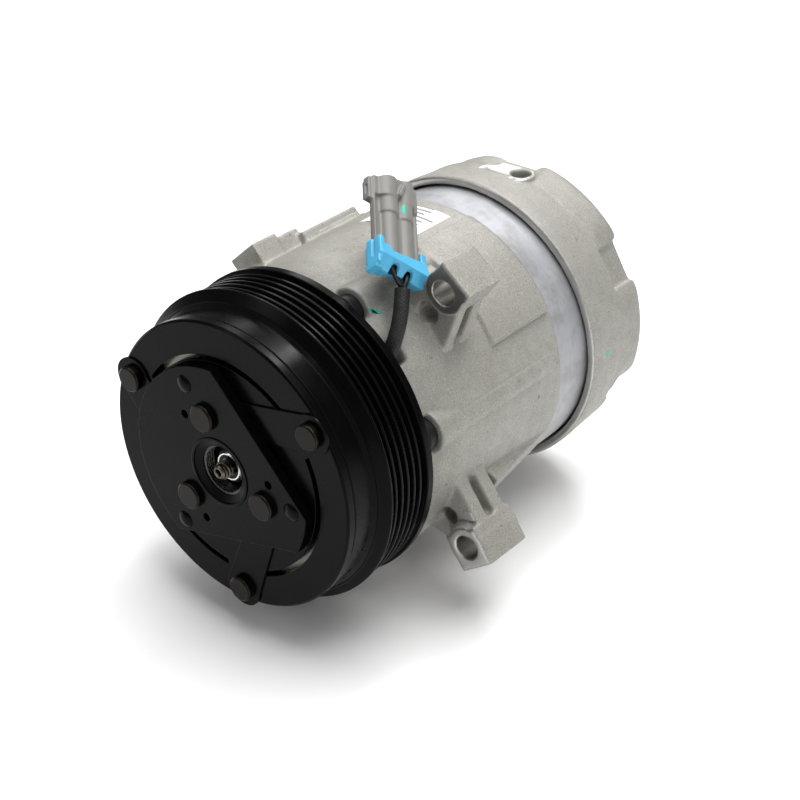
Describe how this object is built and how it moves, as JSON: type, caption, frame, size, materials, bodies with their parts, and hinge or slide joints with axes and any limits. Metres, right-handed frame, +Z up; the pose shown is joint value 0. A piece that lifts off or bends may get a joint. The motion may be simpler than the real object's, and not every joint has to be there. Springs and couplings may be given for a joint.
{
  "type": "automotive air conditioning compressor",
  "caption": "Belt-driven wobble-plate refrigerant compressor with an electromagnetic clutch, grooved pulley, cast housing with mounting ears and a coil lead with a plug.",
  "frame": {"origin": "on the shaft axis, in the front face of the armature plate", "axes": "+Y along the shaft from the clutch to the rear head, +Z up, +X to the right seen from the clutch"},
  "size_m": [0.1472, 0.2013, 0.172],
  "materials": {
    "cast_alu": "as cast, matte",
    "turned_alu": "turned, satin",
    "black_coat": "satin black coat",
    "black_oxide": "black oxide",
    "zinc_dark": "dark zinc",
    "steel": "ground",
    "spring_steel": "blued",
    "bronze": "satin",
    "copper": "enamelled wire",
    "rubber": "matte",
    "sleeve": "braided",
    "grey_plastic": "matte",
    "blue_plastic": "satin",
    "wire_black": "satin",
    "cage_resin": "matte",
    "tin": "tin plated",
    "label_white": "matte",
    "gasket": "coated"
  },
  "bodies": {
    "housing": {"front_housing": "cast_alu", "through_bolts": "black_oxide", "rear_head": "cast_alu", "housing_o_ring": "rubber", "label": "label_white", "pulley_bearing_inner": "steel", "pulley_snap_ring": "spring_steel", "coil_shell": "steel", "coil_winding": "copper", "coil_snap_ring": "spring_steel", "lead_grommet": "rubber", "lead_sleeve": "sleeve", "lead_wires": "wire_black", "connector_body": "grey_plastic", "connector_terminals": "tin", "connector_lock": "blue_plastic", "shaft_seal": "rubber", "seal_retaining_ring": "spring_steel", "front_needle_bearing": "steel", "front_thrust_bearing": "steel", "guide_pin": "steel", "rear_needle_bearing": "steel", "cylinder_block": "turned_alu", "suction_reed": "spring_steel", "valve_plate": "steel", "discharge_reed": "spring_steel", "head_gasket": "gasket", "control_valve": "bronze", "valve_snap_ring": "spring_steel"},
    "pulley": {"pulley": "black_coat", "pulley_bearing_outer": "steel"},
    "bearing_cage": {"pulley_bearing_cage": "cage_resin", "pulley_bearing_balls": "steel"},
    "shaft": {"drive_shaft": "steel", "lug_plate": "steel", "swash_sleeve": "bronze", "clutch_hub": "black_coat", "hub_key": "steel", "hub_shim": "steel", "hub_plate": "black_coat", "hub_rivets": "zinc_dark", "stop_rivets": "black_oxide"},
    "armature": {"armature_plate": "black_coat", "armature_rivets": "zinc_dark", "leaf_springs": "black_coat"},
    "wobble_plate": {"wobble_plate": "steel"},
    "journal": {"journal": "steel", "wobble_snap_ring": "spring_steel"},
    "plunger": {"valve_plunger": "steel"},
    "piston_1": {"piston_1": "turned_alu", "rod_1": "steel"},
    "piston_2": {"piston_2": "turned_alu", "rod_2": "steel"},
    "piston_3": {"piston_3": "turned_alu", "rod_3": "steel"},
    "piston_4": {"piston_4": "turned_alu", "rod_4": "steel"},
    "piston_5": {"piston_5": "turned_alu", "rod_5": "steel"}
  },
  "joints": [
    {"name": "pulley_spin", "type": "hinge", "parent": "housing", "child": "pulley", "pos_m": [0, 0.024, 0], "axis": [0, 1, 0], "continuous": true},
    {"name": "bearing_cage_spin", "type": "hinge", "parent": "housing", "child": "bearing_cage", "pos_m": [0, 0.024, 0], "axis": [0, 1, 0], "continuous": true},
    {"name": "shaft_spin", "type": "hinge", "parent": "housing", "child": "shaft", "pos_m": [0, 0.03, 0], "axis": [0, 1, 0], "continuous": true},
    {"name": "armature_engage", "type": "slide", "parent": "shaft", "child": "armature", "axis": [0, 1, 0], "range_m": [0, 0.00045], "stiffness_N_per_m": 40000, "deforming": ["leaf_springs"]},
    {"name": "wobble_rock", "type": "hinge", "parent": "housing", "child": "wobble_plate", "pos_m": [0, 0.09, 0], "axis": [1, 0, 0], "range_deg": [-18, 18]},
    {"name": "journal_spin", "type": "hinge", "parent": "wobble_plate", "child": "journal", "pos_m": [0, 0.09, 0], "axis": [0, 1, 0], "continuous": true},
    {"name": "piston_1_slide", "type": "slide", "parent": "housing", "child": "piston_1", "axis": [0, 1, 0], "range_m": [-0.01077, 0.01077]},
    {"name": "piston_2_slide", "type": "slide", "parent": "housing", "child": "piston_2", "axis": [0, 1, 0], "range_m": [-0.00347, 0.00347]},
    {"name": "piston_3_slide", "type": "slide", "parent": "housing", "child": "piston_3", "axis": [0, 1, 0], "range_m": [-0.00875, 0.00875]},
    {"name": "piston_4_slide", "type": "slide", "parent": "housing", "child": "piston_4", "axis": [0, 1, 0], "range_m": [-0.00875, 0.00875]},
    {"name": "piston_5_slide", "type": "slide", "parent": "housing", "child": "piston_5", "axis": [0, 1, 0], "range_m": [-0.00347, 0.00347]},
    {"name": "plunger_slide", "type": "slide", "parent": "housing", "child": "plunger", "axis": [0, 1, 0], "range_m": [-0.001, 0.0015], "stiffness_N_per_m": 1500}
  ],
  "couplings": [
    {"joint": "bearing_cage_spin", "follows": "pulley_spin", "ratio": 0.41},
    {"joint": "journal_spin", "follows": "shaft_spin", "ratio": 1},
    {"joint": "piston_1_slide", "follows": "wobble_rock", "m_per_rad": -0.03366},
    {"joint": "piston_2_slide", "follows": "wobble_rock", "m_per_rad": -0.0104},
    {"joint": "piston_3_slide", "follows": "wobble_rock", "m_per_rad": 0.02723},
    {"joint": "piston_4_slide", "follows": "wobble_rock", "m_per_rad": 0.02723},
    {"joint": "piston_5_slide", "follows": "wobble_rock", "m_per_rad": -0.0104}
  ]
}
